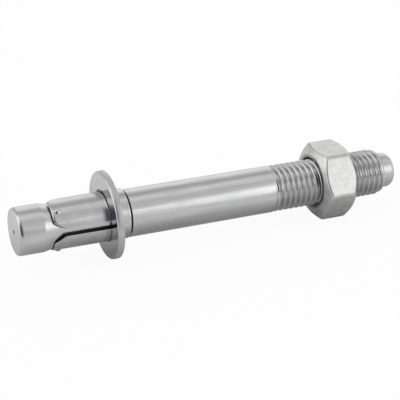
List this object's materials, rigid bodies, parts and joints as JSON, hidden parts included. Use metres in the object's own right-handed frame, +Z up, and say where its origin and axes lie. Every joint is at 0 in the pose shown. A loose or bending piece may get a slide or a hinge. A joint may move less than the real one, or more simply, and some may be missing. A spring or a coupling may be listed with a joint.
{
  "type": "wedge anchor",
  "caption": "Torque-controlled wedge anchor: turned bolt with an expansion cone, a sheet clip rolled round its neck, a flat washer and a hexagon nut.",
  "frame": {"origin": "on the table, under the middle of the box round the whole anchor as it lies", "axes": "+X from the head to the threaded tip, level; +Z up from the table; the bolt leans down to its tip by about 1.5 degrees"},
  "size_m": [0.1704, 0.0366, 0.0367],
  "materials": {
    "bolt_steel": "turned and rolled bright stainless steel",
    "clip_steel": "cold-rolled bright stainless strip",
    "washer_steel": "tumbled bright stainless steel",
    "nut_steel": "drawn bright stainless steel"
  },
  "bodies": {
    "clip": {"expansion_clip": "clip_steel"},
    "bolt": {"anchor_bolt": "bolt_steel"},
    "washer": {"washer": "washer_steel"},
    "nut": {"hex_nut": "nut_steel"}
  },
  "joints": [
    {"name": "bolt_spin", "type": "hinge", "parent": "clip", "child": "bolt", "pos_m": [-0.08493, 0, 0.01866], "axis": [0.9997, 0, -0.0257], "range_deg": [-4161, 2635]},
    {"name": "nut_travel", "type": "slide", "parent": "clip", "child": "nut", "axis": [0.9997, 0, -0.0257], "range_m": [-0.0184, 0.0291]},
    {"name": "washer_slide", "type": "slide", "parent": "clip", "child": "washer", "axis": [0.9997, 0, -0.0257], "range_m": [-0.0196, 0.0719]}
  ],
  "couplings": [
    {"joint": "nut_travel", "follows": "bolt_spin", "m_per_rad": -0.00039789}
  ]
}
